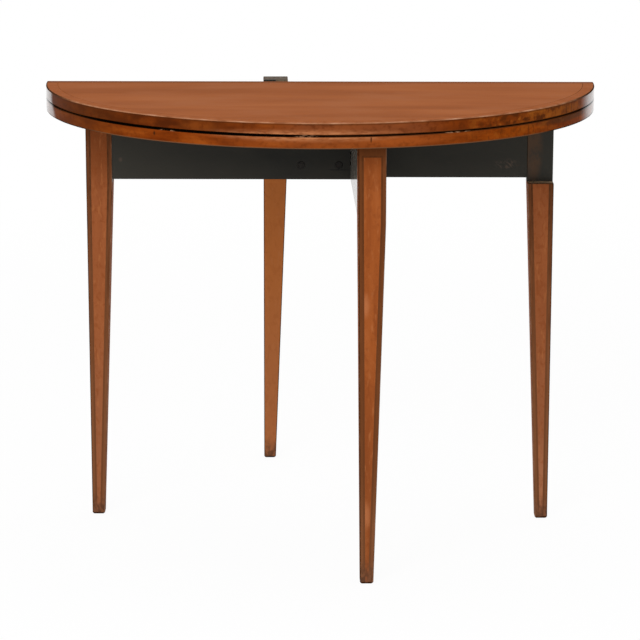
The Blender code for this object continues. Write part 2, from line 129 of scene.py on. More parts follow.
class Finish:
    """A procedural finish: one Principled shader and the nodes that colour it."""

    def __init__(self, name, roughness, specular=0.5, metallic=0.0, coat=0.0, coat_roughness=0.15):
        self.material = bpy.data.materials.new(name)
        self.material.use_nodes = True
        self.tree = self.material.node_tree
        self.shader = self.tree.nodes["Principled BSDF"]
        self.set("Roughness", roughness)
        self.set("Specular IOR Level", specular)
        self.set("Metallic", metallic)
        self.set("Coat Weight", coat)
        self.set("Coat Roughness", coat_roughness)
        self.object_place = self.add("ShaderNodeTexCoord").outputs["Object"]

    def add(self, kind, **settings):
        node = self.tree.nodes.new(kind)
        for name, value in settings.items():
            setattr(node, name, value)
        return node

    def feed(self, socket, value):
        if isinstance(value, bpy.types.NodeSocket):
            self.tree.links.new(value, socket)
        else:
            socket.default_value = value

    def set(self, socket_name, value):
        self.feed(self.shader.inputs[socket_name], value)

    def place(self, size, centre=(0.0, 0.0, 0.0), turn=(0.0, 0.0, 0.0), vector=None):
        """Object coordinates measured from a centre in features of a size."""
        mapping = self.add("ShaderNodeMapping", vector_type="TEXTURE")
        self.feed(mapping.inputs["Vector"], vector or self.object_place)
        mapping.inputs["Location"].default_value = centre
        mapping.inputs["Rotation"].default_value = turn
        mapping.inputs["Scale"].default_value = size
        return mapping.outputs["Vector"]

    def noise(self, vector, detail=2.0, roughness=0.5, distortion=0.0):
        node = self.add("ShaderNodeTexNoise")
        self.feed(node.inputs["Vector"], vector)
        node.inputs["Scale"].default_value = 1.0
        node.inputs["Detail"].default_value = detail
        node.inputs["Roughness"].default_value = roughness
        node.inputs["Distortion"].default_value = distortion
        return node.outputs["Fac"]

    def ramp(self, factor, *stops):
        node = self.add("ShaderNodeValToRGB")
        self.feed(node.inputs["Fac"], factor)
        elements = node.color_ramp.elements
        while len(elements) < len(stops):
            elements.new(0.5)
        for element, (position, colour) in zip(elements, stops):
            element.position = position
            element.color = (*colour, 1.0)
        return node.outputs["Color"]

    def span(self, value, low, high, to_low=0.0, to_high=1.0):
        """A value between two limits brought smoothly to another pair of limits."""
        node = self.add("ShaderNodeMapRange", interpolation_type="SMOOTHSTEP")
        self.feed(node.inputs["Value"], value)
        limits = {"From Min": low, "From Max": high, "To Min": to_low, "To Max": to_high}
        for name, number in limits.items():
            node.inputs[name].default_value = number
        return node.outputs["Result"]

    def sum(self, operation, first, second=0.0):
        node = self.add("ShaderNodeMath", operation=operation)
        self.feed(node.inputs[0], first)
        self.feed(node.inputs[1], second)
        return node.outputs["Value"]

    def times(self, first, second):
        return self.sum("MULTIPLY", first, second)

    def larger(self, first, second):
        return self.sum("MAXIMUM", first, second)

    def smaller(self, first, second):
        return self.sum("MINIMUM", first, second)

    def unsigned(self, value):
        return self.sum("ABSOLUTE", value)

    def lay(self, factor, under, over, blend="MIX"):
        """One colour laid over another by a factor."""
        node = self.add("ShaderNodeMix", data_type="RGBA", blend_type=blend)
        self.feed(node.inputs["Factor"], factor)
        sockets = [socket for socket in node.inputs if socket.type == "RGBA"]
        for socket, colour in zip(sockets, (under, over)):
            self.feed(socket, colour if isinstance(colour, bpy.types.NodeSocket) else (*colour, 1.0))
        return next(socket for socket in node.outputs if socket.type == "RGBA")

    def part(self, vector, axis):
        node = self.add("ShaderNodeSeparateXYZ")
        self.feed(node.inputs["Vector"], vector)
        return node.outputs[axis]

    def along(self, axis):
        return self.part(self.object_place, axis)

    def join(self, x, y, z=0.0):
        node = self.add("ShaderNodeCombineXYZ")
        for socket, value in zip(node.inputs, (x, y, z)):
            self.feed(socket, value)
        return node.outputs["Vector"]

    def spot(self, centre, radii, soft=0.5, vector=None):
        """1 inside an egg-shaped spot on the piece, 0 outside it."""
        node = self.add("ShaderNodeVectorMath", operation="LENGTH")
        self.feed(node.inputs[0], self.place(radii, centre, vector=vector))
        return self.span(node.outputs["Value"], 1.0 - soft, 1.0, 1.0, 0.0)

    def bump(self, height, distance):
        node = self.add("ShaderNodeBump")
        node.inputs["Distance"].default_value = distance
        node.inputs["Strength"].default_value = 1.0
        self.feed(node.inputs["Height"], height)
        self.set("Normal", node.outputs["Normal"])


# Wood finishes

# Near-black of the joint between the leaves: grime and painted shade of the gap.
JOINT_SHADE_AND_DIRT = (0.0030, 0.0014, 0.0008)
END_GLOSS_IOR = 1.8
STREAK_WIDTH = 0.14
PORE_LENGTH = 0.16
PORE_WIDTH = 0.028
PORE_SHADE = 0.4
PORE_DEPTH = 0.00006


def grain(finish, sizes, shade, main, light, streaks=0.25, vector=None):
    """Wood figure, streaks and pores; sizes are those of one figure along X, Y and Z."""
    long_way = max(sizes)
    figure = finish.noise(finish.place(sizes, vector=vector), distortion=0.5)
    colour = finish.ramp(figure, (0.30, shade), (0.50, main), (0.70, light))
    thin = [size if size == long_way else size * STREAK_WIDTH for size in sizes]
    streak = finish.noise(finish.place(thin, vector=vector), detail=3.0)
    colour = finish.lay(finish.span(streak, 0.42, 0.70, 0.0, streaks), colour, shade)
    pore = [size * (PORE_LENGTH if size == long_way else PORE_WIDTH) for size in sizes]
    pores = finish.noise(finish.place(pore, vector=vector), detail=1.0)
    pore_colour = [level * PORE_SHADE for level in shade]
    colour = finish.lay(finish.span(pores, 0.62, 0.74, 0.0, streaks), colour, pore_colour)
    finish.bump(finish.span(pores, 0.62, 0.74, 1.0, 0.0), PORE_DEPTH)
    return colour


def speckled_finish(name, roughness, specular, sizes, *stops):
    """A finish whose colour runs through the stops with one fine noise of those sizes."""
    finish = Finish(name, roughness, specular=specular)
    speck = finish.noise(finish.place(sizes), detail=3.0)
    finish.set("Base Color", finish.ramp(speck, *stops))
    return finish.material


def hinge_place(finish):
    """Place measured from the middle of the hinge line."""
    return finish.place(WHOLE, HINGE_POINT)


def from_hinge(finish):
    """Distance from the middle of the hinge line."""
    node = finish.add("ShaderNodeVectorMath", operation="LENGTH")
    finish.feed(node.inputs[0], hinge_place(finish))
    return node.outputs["Value"]


def rim_place(finish):
    """Length along the rim from its left end, height from the joint of the leaves, and both as one."""
    place = hinge_place(finish)
    turn = finish.add("ShaderNodeTexGradient", gradient_type="RADIAL")
    finish.feed(turn.inputs["Vector"], place)
    arc = finish.times(turn.outputs["Fac"], 2 * math.pi * TOP_RADIUS)
    height = finish.part(place, "Z")
    return arc, height, finish.join(arc, height)


def joint_shade_and_dirt(finish, arc, height):
    """Grime and painted shade in the joint between the leaves, widest left of the middle and thin at both
    ends.
    """
    half_width = finish.smaller(
        finish.span(arc, 0.18, 0.34, 0.0007, 0.0019), finish.span(arc, 0.56, 0.76, 0.0019, 0.0008))
    away = finish.sum("SUBTRACT", finish.unsigned(height), half_width)
    strength = finish.smaller(
        finish.span(arc, 0.16, 0.34, 0.55, 1.0), finish.span(arc, 0.84, 1.16, 1.0, 0.50))
    return finish.times(finish.span(away, 0.0, 0.0008, 1.0, 0.0), strength)


def glossy_ends(finish, arc, height):
    """1 where the rim has kept its gloss, at both ends; at the left less far on the upper leaf."""
    left_arc = finish.sum("ADD", arc, finish.span(height, -0.018, 0.008, 0.0, 0.020))
    return finish.larger(finish.span(left_arc, 0.136, 0.162, 1.0, 0.0), finish.span(arc, 1.226, 1.290))


def dark_back_line(finish, colour):
    """The top's back edge, darkened beside the hinge line."""
    inwards = finish.part(hinge_place(finish), "Y")
    return finish.lay(finish.span(inwards, -0.030, -0.008, 0.0, 0.55), colour, (0.080, 0.029, 0.012))


def top_field_finish():
    """Faded veneer with its grain along the table and hazy old polish."""
    finish = Finish("top_field", 0.55, specular=0.002)
    colour = grain(
        finish, (0.34, 0.060, 0.060),
        (0.258, 0.077, 0.025), (0.298, 0.091, 0.030), (0.332, 0.106, 0.036), 0.07)
    haze = finish.noise(finish.place((0.14, 0.10, 0.10)), detail=3.0)
    colour = finish.lay(finish.span(haze, 0.44, 0.70, 0.0, 0.6), colour, (0.312, 0.108, 0.044))
    finish.set("Base Color", dark_back_line(finish, colour))
    return finish.material


def crossband_finish():
    """Veneer laid across the rim of the top."""
    finish = Finish("top_crossband", 0.55, specular=0.002)
    arc, height, _ = rim_place(finish)
    colour = grain(
        finish, (0.012, 0.060, 0.060),
        (0.262, 0.077, 0.025), (0.292, 0.088, 0.029), (0.320, 0.100, 0.034), 0.10,
        finish.join(arc, from_hinge(finish), height))
    finish.set("Base Color", dark_back_line(finish, colour))
    return finish.material


def top_string_finish():
    """Faded line inside the crossband, clearer at the right."""
    finish = Finish("top_string", 0.55, specular=0.0)
    speck = finish.noise(finish.place((0.030, 0.030, 0.030)), detail=3.0)
    colour = finish.ramp(speck, (0.35, (0.185, 0.060, 0.022)), (0.70, (0.285, 0.088, 0.030)))
    clear = finish.span(finish.along("X"), 0.25, 0.40, 0.0, 0.55)
    finish.set("Base Color", finish.lay(clear, colour, (0.120, 0.040, 0.016)))
    return finish.material


def leaf_edge_finish():
    """Orange-brown edge, darker at the left, with painted highlights along the middle and beside the joint,
    and glossy at both ends.
    """
    finish = Finish("leaf_edge", 0.40, specular=0.008, coat_roughness=0.08)
    finish.set("Coat IOR", END_GLOSS_IOR)
    arc, height, unrolled = rim_place(finish)
    cloud = finish.noise(finish.place((0.060, 0.014, 1.0), vector=unrolled), detail=3.0)
    colour = finish.ramp(
        cloud,
        (0.32, (0.120, 0.0200, 0.0020)), (0.50, (0.190, 0.0345, 0.0030)), (0.68, (0.260, 0.0560, 0.0060)))
    # Painted highlight: the rim lighter along its middle.
    middle = finish.spot((0.730, -0.004, 0.0), (0.25, 0.040, 1.0), 0.9, unrolled)
    colour = finish.lay(finish.times(middle, 0.7), colour, (0.224, 0.055, 0.0120))
    # Painted highlight low on the lower leaf, in the same place.
    painted_highlight_low = finish.spot((0.840, -0.010, 0.0), (0.085, 0.010, 1.0), 0.8, unrolled)
    colour = finish.lay(finish.times(painted_highlight_low, 0.55), colour, (0.330, 0.075, 0.0130))
    on_upper = finish.span(height, -0.001, 0.001)
    colour = finish.lay(finish.times(on_upper, 0.30), colour, (0.110, 0.022, 0.0035))
    # Painted sheen: a paler, greyer patch on the upper leaf within that highlight.
    painted_sheen = finish.spot((0.770, 0.010, 0.0), (0.15, 0.030, 1.0), 0.5, unrolled)
    painted_sheen = finish.times(finish.times(painted_sheen, on_upper), 0.21)
    colour = finish.lay(painted_sheen, colour, (0.230, 0.085, 0.040))
    patches = finish.noise(finish.place((0.035, 0.016, 1.0), vector=unrolled), detail=2.0)
    patches = finish.span(patches, 0.36, 0.64, 1.0, 0.45)
    dark_left = finish.times(on_upper, finish.span(arc, 0.52, 0.66, 0.95, 0.0))
    colour = finish.lay(finish.times(dark_left, patches), colour, (0.062, 0.0120, 0.0022))
    orange_patch = finish.spot((0.518, 0.009, 0.0), (0.045, 0.013, 1.0), 0.8, unrolled)
    colour = finish.lay(finish.times(orange_patch, 0.7), colour, (0.195, 0.045, 0.0065))
    golden = finish.spot((1.150, 0.008, 0.0), (0.14, 0.016, 1.0), 0.7, unrolled)
    golden = finish.times(golden, finish.times(on_upper, 0.75))
    colour = finish.lay(golden, colour, (0.255, 0.068, 0.0075))
    orange_right = finish.spot((1.040, -0.010, 0.0), (0.10, 0.016, 1.0), 0.8, unrolled)
    colour = finish.lay(finish.times(orange_right, 0.8), colour, (0.270, 0.052, 0.0030))
    left_end = finish.span(arc, 0.26, 0.44, 0.6, 0.0)
    colour = finish.lay(left_end, colour, (0.085, 0.022, 0.0036))
    mottle = finish.noise(finish.place((0.011, 0.010, 1.0), vector=unrolled), detail=3.0, roughness=0.6)
    mottle = finish.times(finish.span(mottle, 0.46, 0.70), finish.span(height, -0.001, 0.001, 0.36, 0.55))
    colour = finish.lay(mottle, colour, (0.072, 0.0130, 0.0018))
    # Painted highlight beside the joint along the middle, broken up by flecks.
    rubbed = finish.spot((0.690, 0.0, 0.0), (0.20, 0.012, 1.0), 0.9, unrolled)
    flecks = finish.noise(finish.place((0.018, 0.004, 1.0), vector=unrolled), detail=3.0)
    rubbed = finish.times(rubbed, finish.span(flecks, 0.36, 0.62, 0.35, 1.0))
    colour = finish.lay(rubbed, colour, (0.440, 0.170, 0.068))
    dark_right = finish.spot((1.180, -0.005, 0.0), (0.13, 0.008, 1.0), 0.7, unrolled)
    colour = finish.lay(dark_right, colour, (0.098, 0.028, 0.0070))
    blotches = finish.noise(finish.place((0.020, 0.011, 1.0), vector=unrolled), detail=2.0)
    right_half = finish.times(finish.span(arc, 0.90, 1.02), finish.span(arc, 1.10, 1.20, 1.0, 0.2))
    right_half = finish.times(right_half, finish.span(on_upper, 0.0, 1.0, 0.4, 1.0))
    pale_blotches = finish.times(finish.span(blotches, 0.52, 0.62, 0.0, 0.9), right_half)
    dark_blotches = finish.times(finish.span(blotches, 0.38, 0.48, 0.9, 0.0), right_half)
    colour = finish.lay(pale_blotches, colour, (0.275, 0.074, 0.0080))
    colour = finish.lay(dark_blotches, colour, (0.085, 0.019, 0.0030))
    ticks = finish.noise(finish.place((0.0045, 0.016, 1.0), vector=unrolled))
    ticks = finish.times(finish.span(ticks, 0.54, 0.70, 0.0, 0.6), finish.span(arc, 0.86, 1.06))
    colour = finish.lay(ticks, colour, (0.060, 0.015, 0.003))
    under_arris = finish.span(height, 0.0145, 0.0182, 0.0, 0.6)
    colour = finish.lay(under_arris, colour, (0.060, 0.016, 0.004))
    crack = finish.spot((0.783, -0.006, 0.0), (0.0013, 0.007, 1.0), 0.6, unrolled)
    nick = finish.spot((0.438, -0.008, 0.0), (0.0030, 0.005, 1.0), 0.8, unrolled)
    colour = finish.lay(finish.larger(crack, nick), colour, (0.045, 0.012, 0.003))
    # Grime and painted shade in the joint between the leaves.
    finish.set("Base Color", finish.lay(joint_shade_and_dirt(finish, arc, height), colour, JOINT_SHADE_AND_DIRT))
    finish.set("Coat Weight", glossy_ends(finish, arc, height))
    return finish.material


def worn_highlit_arris_finish():
    """Arrises pale along the front, worn and with a painted highlight; dark towards the ends, with painted
    shade beside the joint and under the ends of the lower leaf; a few chips.
    """
    finish = Finish("worn_highlit_arris", 0.50, specular=0.0, coat_roughness=0.08)
    finish.set("Coat IOR", END_GLOSS_IOR)
    arc, height, unrolled = rim_place(finish)
    # Worn and painted highlight: the arrises paler along the front.
    wear_and_highlight = finish.noise(finish.place((0.030, 0.010, 1.0), vector=unrolled), detail=3.0)
    colour = finish.ramp(
        wear_and_highlight, (0.30, (0.200, 0.066, 0.026)), (0.50, (0.310, 0.126, 0.058)), (0.72, (0.450, 0.235, 0.140)))
    colour = finish.lay(finish.span(height, -0.016, -0.014, 1.0, 0.0), colour, (0.150, 0.062, 0.027))
    # Painted shade: the arrises darkened beside the joint, where they round into the gap.
    beside_joint = finish.span(finish.unsigned(height), 0.004, 0.008, 1.0, 0.0)
    colour = finish.lay(beside_joint, colour, (0.090, 0.026, 0.007))
    dark_ends = finish.larger(
        finish.span(arc, 0.16, 0.26, 0.9, 0.0), finish.span(arc, 1.14, 1.26, 0.0, 0.9))
    colour = finish.lay(dark_ends, colour, (0.034, 0.014, 0.007))
    # Painted shadow: the bottom arris darkened under the ends of the lower leaf.
    under = finish.span(height, -0.017, -0.015, 1.0, 0.0)
    near_ends = finish.larger(finish.span(arc, 0.24, 0.34, 1.0, 0.0), finish.span(arc, 1.08, 1.14))
    under = finish.times(under, near_ends)
    colour = finish.lay(under, colour, (0.010, 0.004, 0.002))
    colour = finish.lay(joint_shade_and_dirt(finish, arc, height), colour, JOINT_SHADE_AND_DIRT)
    left_chip = finish.spot((0.461, -0.0020, 0.0), (0.018, 0.0018, 1.0), 0.6, unrolled)
    middle_chip = finish.spot((0.685, 0.0, 0.0), (0.022, 0.0030, 1.0), 0.6, unrolled)
    right_chip = finish.spot((0.922, -0.0010, 0.0), (0.028, 0.0014, 1.0), 0.6, unrolled)
    broken = finish.noise(finish.place((0.006, 0.004, 1.0), vector=unrolled))
    chips = finish.larger(finish.larger(left_chip, middle_chip), right_chip)
    chips = finish.times(chips, finish.span(broken, 0.44, 0.56, 0.0, 0.8))
    colour = finish.lay(chips, colour, (0.340, 0.170, 0.090))
    at_back = finish.span(finish.part(hinge_place(finish), "Y"), -0.004, -0.002)
    finish.set("Base Color", finish.lay(at_back, colour, (0.070, 0.025, 0.010)))
    glossy = finish.times(glossy_ends(finish, arc, height), beside_joint)
    finish.set("Coat Weight", finish.times(glossy, finish.span(at_back, 0.0, 1.0, 1.0, 0.0)))
    return finish.material


def leaf_inside_finish():
    """Polished inner faces, darkened along their rim by grime and painted shade of the joint."""
    finish = Finish("leaf_inside", 0.42, specular=0.05)
    colour = grain(
        finish, (0.26, 0.034, 0.034), (0.195, 0.056, 0.017), (0.275, 0.083, 0.026), (0.330, 0.108, 0.036))
    # Painted shade and grime: the rim of the inner faces darkened where they meet in the gap.
    rim_shade_and_dirt = finish.span(from_hinge(finish), TOP_RADIUS - 0.009, TOP_RADIUS - 0.003)
    finish.set("Base Color", finish.lay(rim_shade_and_dirt, colour, JOINT_SHADE_AND_DIRT))
    return finish.material


def underside_finish():
    finish = Finish("bare_underside", 0.75, specular=0.2)
    colour = grain(
        finish, (0.22, 0.026, 0.026), (0.120, 0.060, 0.030), (0.190, 0.100, 0.052), (0.250, 0.140, 0.078))
    finish.set("Base Color", colour)
    return finish.material


def scuffed(finish, colour):
    """A leg's colour, dulled and scuffed dark on the last few centimetres above the floor."""
    height = finish.along("Z")
    scuffs = finish.noise(finish.place((0.004, 0.004, 0.009)), detail=3.0)
    scuffs = finish.times(finish.span(scuffs, 0.40, 0.60), finish.span(height, 0.004, 0.050, 0.75, 0.0))
    colour = finish.lay(finish.span(height, 0.0, 0.045, 0.6, 0.0), colour, (0.190, 0.080, 0.042))
    return finish.lay(scuffs, colour, (0.075, 0.034, 0.018))


def on_front_leg(finish, amount):
    """That amount on the front leg, fading out towards its foot, and 0 on the others."""
    front = finish.span(finish.along("Y"), -0.30, -0.20, amount, 0.0)
    return finish.times(front, finish.span(finish.along("Z"), 0.06, 0.20))


def leg_panel_finish():
    """Flamed panel, redder on the front leg and paler towards the feet; the rear leg is painted lighter and
    more golden against its shade under the top, and the front leg has painted highlights.
    """
    finish = Finish("leg_panel", 0.55, specular=0.015)
    colour = grain(
        finish, (0.016, 0.016, 0.120),
        (0.245, 0.060, 0.0135), (0.295, 0.076, 0.0170), (0.330, 0.092, 0.024), 0.08)
    x, y, height = (finish.along(axis) for axis in "XYZ")
    outer = finish.span(finish.unsigned(x), 0.20, 0.22)
    colour = finish.lay(finish.times(outer, 0.55), colour, (0.290, 0.096, 0.038))
    # Painted light: the rear leg made lighter and more golden against its shade under the top.
    colour = finish.lay(finish.span(y, 0.28, 0.32, 0.0, 0.85), colour, (0.400, 0.128, 0.034))
    faded = finish.times(
        finish.span(height, 0.10, 0.40, 1.0, 0.0), finish.span(y, -0.30, -0.20, 0.15, 0.45))
    faded = finish.times(faded, finish.span(outer, 0.0, 1.0, 1.0, 1.6))
    colour = finish.lay(faded, colour, (0.290, 0.106, 0.046))
    on_right = finish.span(x, 0.20, 0.22)
    dull = finish.times(on_right, finish.span(height, 0.34, 0.46, 0.22, 0.0))
    colour = finish.lay(dull, colour, (0.195, 0.060, 0.023))
    lit_low = finish.times(on_right, finish.span(height, 0.06, 0.17, 0.75, 0.0))
    colour = finish.lay(lit_low, colour, (0.370, 0.150, 0.072))
    shaded = finish.larger(
        finish.span(height, 0.60, 0.68), finish.times(outer, finish.span(height, 0.54, 0.62)))
    shaded_low = finish.times(
        finish.span(y, -0.30, -0.20, 0.55, 0.0), finish.span(height, 0.15, 0.42, 1.0, 0.0))
    shaded = finish.larger(shaded, shaded_low)
    colour = finish.lay(finish.times(shaded, 0.5), colour, (0.150, 0.036, 0.008))
    flame = finish.noise(finish.place((0.010, 0.010, 0.015)), detail=4.0, distortion=1.2)
    flame = finish.times(finish.span(flame, 0.48, 0.68), finish.span(y, 0.28, 0.32, 0.45, 0.18))
    colour = finish.lay(flame, colour, (0.205, 0.050, 0.0120))
    glint = finish.noise(finish.place((0.005, 0.005, 0.020)), detail=3.0)
    colour = finish.lay(finish.span(glint, 0.55, 0.75, 0.0, 0.5), colour, (0.390, 0.135, 0.045))
    # Painted highlights on the front leg, one low and one high.
    low_highlight = finish.spot((0.072, FRONT_FACE_Y, 0.112), (0.010, 0.020, 0.030), 0.8)
    high_highlight = finish.spot((0.069, FRONT_FACE_Y, 0.446), (0.010, 0.020, 0.026), 0.8)
    rubs = finish.times(finish.larger(low_highlight, high_highlight), 0.55)
    colour = finish.lay(rubs, colour, (0.450, 0.160, 0.062))
    finish.set("Base Color", scuffed(finish, colour))
    return finish.material


def leg_border_finish():
    """Border outside the strings, paler towards the feet and redder on the front leg."""
    finish = Finish("leg_border", 0.55, specular=0.0)
    colour = grain(
        finish, (0.007, 0.007, 0.060),
        (0.115, 0.039, 0.0150), (0.150, 0.051, 0.0190), (0.184, 0.065, 0.0265), 0.20)
    height = finish.along("Z")
    colour = finish.lay(finish.span(height, 0.12, 0.45, 0.7, 0.0), colour, (0.205, 0.080, 0.033))
    colour = finish.lay(on_front_leg(finish, 0.65), colour, (0.122, 0.036, 0.0095))
    finish.set("Base Color", scuffed(finish, colour))
    return finish.material


def dark_string_finish():
    """Dark lines in the legs, worn fainter towards the feet."""
    finish = Finish("dark_string", 0.55, specular=0.0)
    speck = finish.noise(finish.place((0.004, 0.004, 0.012)))
    colour = finish.ramp(speck, (0.35, (0.078, 0.028, 0.011)), (0.70, (0.126, 0.046, 0.018)))
    height = finish.along("Z")
    colour = finish.lay(finish.span(height, 0.38, 0.60, 0.8, 0.0), colour, (0.160, 0.059, 0.0238))
    colour = finish.lay(on_front_leg(finish, 0.60), colour, (0.105, 0.031, 0.0090))
    finish.set("Base Color", scuffed(finish, colour))
    return finish.material


def leg_arris_finish():
    """Leg corners dark, partly with handling and partly as painted shade on the sides turned from the
    light.
    """
    return speckled_finish(
        "leg_arris", 0.55, 0.0, (0.006, 0.006, 0.024),
        (0.36, (0.032, 0.011, 0.004)), (0.58, (0.068, 0.024, 0.009)), (0.78, (0.160, 0.064, 0.027)))


def lit_arris_finish():
    """Leg corners painted pale on the side of each leg that the light falls on."""
    return speckled_finish(
        "lit_arris", 0.55, 0.0, (0.006, 0.006, 0.024),
        (0.34, (0.110, 0.045, 0.020)), (0.56, (0.195, 0.090, 0.048)), (0.78, (0.280, 0.140, 0.082)))


def foot_finish():
    return speckled_finish(
        "worn_foot", 0.7, 0.1, (0.005, 0.005, 0.005),
        (0.36, (0.018, 0.009, 0.005)), (0.55, (0.060, 0.030, 0.016)), (0.72, (0.170, 0.095, 0.055)))


# Dark frame

def ebonised_colour(finish):
    """Worn black stain, greyer towards the ends of the table."""
    cloud = finish.noise(finish.place((0.11, 0.11, 0.05)), detail=3.0)
    colour = finish.ramp(cloud, (0.32, (0.0115, 0.0112, 0.0084)), (0.68, (0.0205, 0.0196, 0.0145)))
    outwards = finish.unsigned(finish.part(finish.place(WHOLE, (0.03, 0.0, 0.0)), "X"))
    colour = finish.lay(finish.span(outwards, 0.06, 0.38, 0.0, 0.95), colour, (0.0290, 0.0268, 0.0203))
    rubs = finish.noise(
        finish.place((0.030, 0.030, 0.0016), turn=(0.0, 0.12, 0.0)), detail=3.0, roughness=0.65)
    return finish.lay(finish.span(rubs, 0.64, 0.76, 0.0, 0.35), colour, (0.070, 0.056, 0.044))


def ebonised_finish():
    """Black stain, greyer low down, with a fleck, a crack beside the lap and scuffs at the right."""
    finish = Finish("ebonised_rail", 0.40, specular=0.14)
    colour = ebonised_colour(finish)
    low_edge = finish.span(finish.along("Z"), 0.580, 0.625, 0.25, 0.0)
    colour = finish.lay(low_edge, colour, (0.042, 0.038, 0.029))
    fleck = finish.spot((-0.328, 0.0, 0.613), (0.0045, 0.08, 0.0055), 0.9)
    scuffs = finish.spot((0.308, 0.03, 0.603), (0.026, 0.08, 0.013), 0.9)
    broken = finish.noise(finish.place((0.008, 0.008, 0.003), turn=(0.0, 0.9, 0.0)), detail=3.0)
    scuffs = finish.times(scuffs, finish.span(broken, 0.48, 0.62))
    marks = finish.larger(finish.times(fleck, 0.6), scuffs)
    colour = finish.lay(marks, colour, (0.085, 0.058, 0.042))
    crack = finish.spot((0.032, 0.0, 0.5965), (0.024, 0.03, 0.0009), 0.5)
    finish.set("Base Color", finish.lay(crack, colour, (0.0030, 0.0028, 0.0025)))
    brush = finish.noise(finish.place((0.060, 0.060, 0.0012)))
    finish.bump(brush, 0.00008)
    return finish.material


def gate_polish_finish():
    """The same black on the gate rails, shinier, dusty and worn brown along the grain towards the legs."""
    finish = Finish("gate_polish", 0.12)
    depth = finish.unsigned(finish.along("Y"))
    streak = finish.noise(finish.place((0.16, 0.16, 0.006)), detail=4.0, roughness=0.6)
    worn = finish.times(finish.span(streak, 0.36, 0.64), finish.span(depth, 0.02, 0.32, 0.25, 0.85))
    finish.set("Base Color", finish.lay(worn, ebonised_colour(finish), (0.085, 0.072, 0.052)))
    finish.set("Sheen Weight", 0.09)
    finish.set("Sheen Roughness", 0.35)
    finish.set("Sheen Tint", (1.0, 0.93, 0.80, 1.0))
    return finish.material


def dry_edge_finish():
    """The gate rails' bare upper edges."""
    return speckled_finish(
        "dry_edge", 0.7, 0.0, (0.004, 0.060, 0.004),
        (0.34, (0.080, 0.058, 0.038)), (0.70, (0.150, 0.112, 0.076)))


def rubbed_block_finish():
    """Dark stain on the right leg's block, rubbed brown on its inner half by the closing gate."""
    finish = Finish("rubbed_block", 0.46, specular=0.14)
    colour = finish.lay(0.4, ebonised_colour(finish), (0.036, 0.034, 0.027))
    inner_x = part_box("right_leg")[0].x
    rub = finish.spot((inner_x + 0.010, 0.0, 0.628), (0.019, 0.10, 0.070), 0.5)
    broken = finish.noise(finish.place((0.014, 0.014, 0.026)), detail=4.0, roughness=0.6)
    rub = finish.times(rub, finish.span(broken, 0.25, 0.60))
    finish.set("Base Color", finish.lay(rub, colour, (0.078, 0.043, 0.0230)))
    return finish.material


def worn_ledge_finish():
    """The ledge under a leg's block, rubbed by the rail of the closing gate."""
    return speckled_finish(
        "worn_ledge", 0.7, 0.05, (0.008, 0.008, 0.008),
        (0.36, (0.260, 0.190, 0.115)), (0.68, (0.400, 0.290, 0.185)))


def block_top_finish():
    return speckled_finish(
        "block_end_grain", 0.8, 0.1, (0.006, 0.006, 0.006),
        (0.34, (0.060, 0.044, 0.032)), (0.70, (0.145, 0.110, 0.082)))


def dowel_finish():
    return speckled_finish(
        "dowel_end_grain", 0.6, 0.14, (0.003, 0.02, 0.003),
        (0.36, (0.010, 0.009, 0.008)), (0.70, (0.030, 0.026, 0.021)))


# Metal

def brass_finish():
    finish = Finish("old_brass", 0.38, metallic=1.0)
    tarnish = finish.noise(finish.place((0.006, 0.006, 0.006)), detail=4.0, roughness=0.6)
    colour = finish.ramp(tarnish, (0.34, (0.120, 0.075, 0.030)), (0.62, (0.430, 0.285, 0.110)))
    finish.set("Base Color", colour)
    finish.set("Roughness", finish.span(tarnish, 0.35, 0.65, 0.55, 0.30))
    return finish.material


def iron_finish():
    finish = Finish("old_iron", 0.55, metallic=1.0)
    rust = finish.noise(finish.place((0.004, 0.004, 0.006)), detail=4.0, roughness=0.6)
    colour = finish.ramp(rust, (0.40, (0.120, 0.110, 0.105)), (0.66, (0.160, 0.075, 0.040)))
    finish.set("Base Color", colour)
    return finish.material


TOP_FIELD = top_field_finish()
CROSSBAND = crossband_finish()
TOP_STRING = top_string_finish()
LEAF_EDGE = leaf_edge_finish()
WORN_HIGHLIT_ARRIS = worn_highlit_arris_finish()
DARK_STRING = dark_string_finish()
LEAF_INSIDE = leaf_inside_finish()
UNDERSIDE = underside_finish()
LEG_PANEL = leg_panel_finish()
LEG_BORDER = leg_border_finish()
LEG_CORNER = leg_arris_finish()
LIT_CORNER = lit_arris_finish()
FOOT = foot_finish()
EBONISED = ebonised_finish()
GATE_POLISH = gate_polish_finish()
DRY_EDGE = dry_edge_finish()
RUBBED_BLOCK = rubbed_block_finish()
WORN_LEDGE = worn_ledge_finish()
BLOCK_TOP = block_top_finish()
DOWEL_END = dowel_finish()
BRASS = brass_finish()
IRON = iron_finish()


# Mesh helpers

def copy_of(node):
    """The node's shape with its loose triangles merged into flat faces."""
    bm = bmesh.new()
    bm.from_mesh(frame["nodes"][node].data)
    bmesh.ops.remove_doubles(bm, verts=bm.verts, dist=MERGE_DISTANCE)
    bmesh.ops.dissolve_limit(bm, angle_limit=FLAT_ANGLE, verts=bm.verts, edges=bm.edges)
    return bm


def box_shape(low, high):
    bm = bmesh.new()
    low, high = Vector(low), Vector(high)
    place = Matrix.Translation((low + high) / 2) @ Matrix.Diagonal((*(high - low), 1.0))
    bmesh.ops.create_cube(bm, size=1.0, matrix=place)
    return bm


def rod_shape(start, end, radius):
    bm = bmesh.new()
    start, end = Vector(start), Vector(end)
    turn = Z_AXIS.rotation_difference(end - start).to_matrix().to_4x4()
    bmesh.ops.create_cone(
        bm, cap_ends=True, segments=ROD_STEPS, radius1=radius, radius2=radius, depth=(end - start).length,
        matrix=Matrix.Translation((start + end) / 2) @ turn)
    return bm


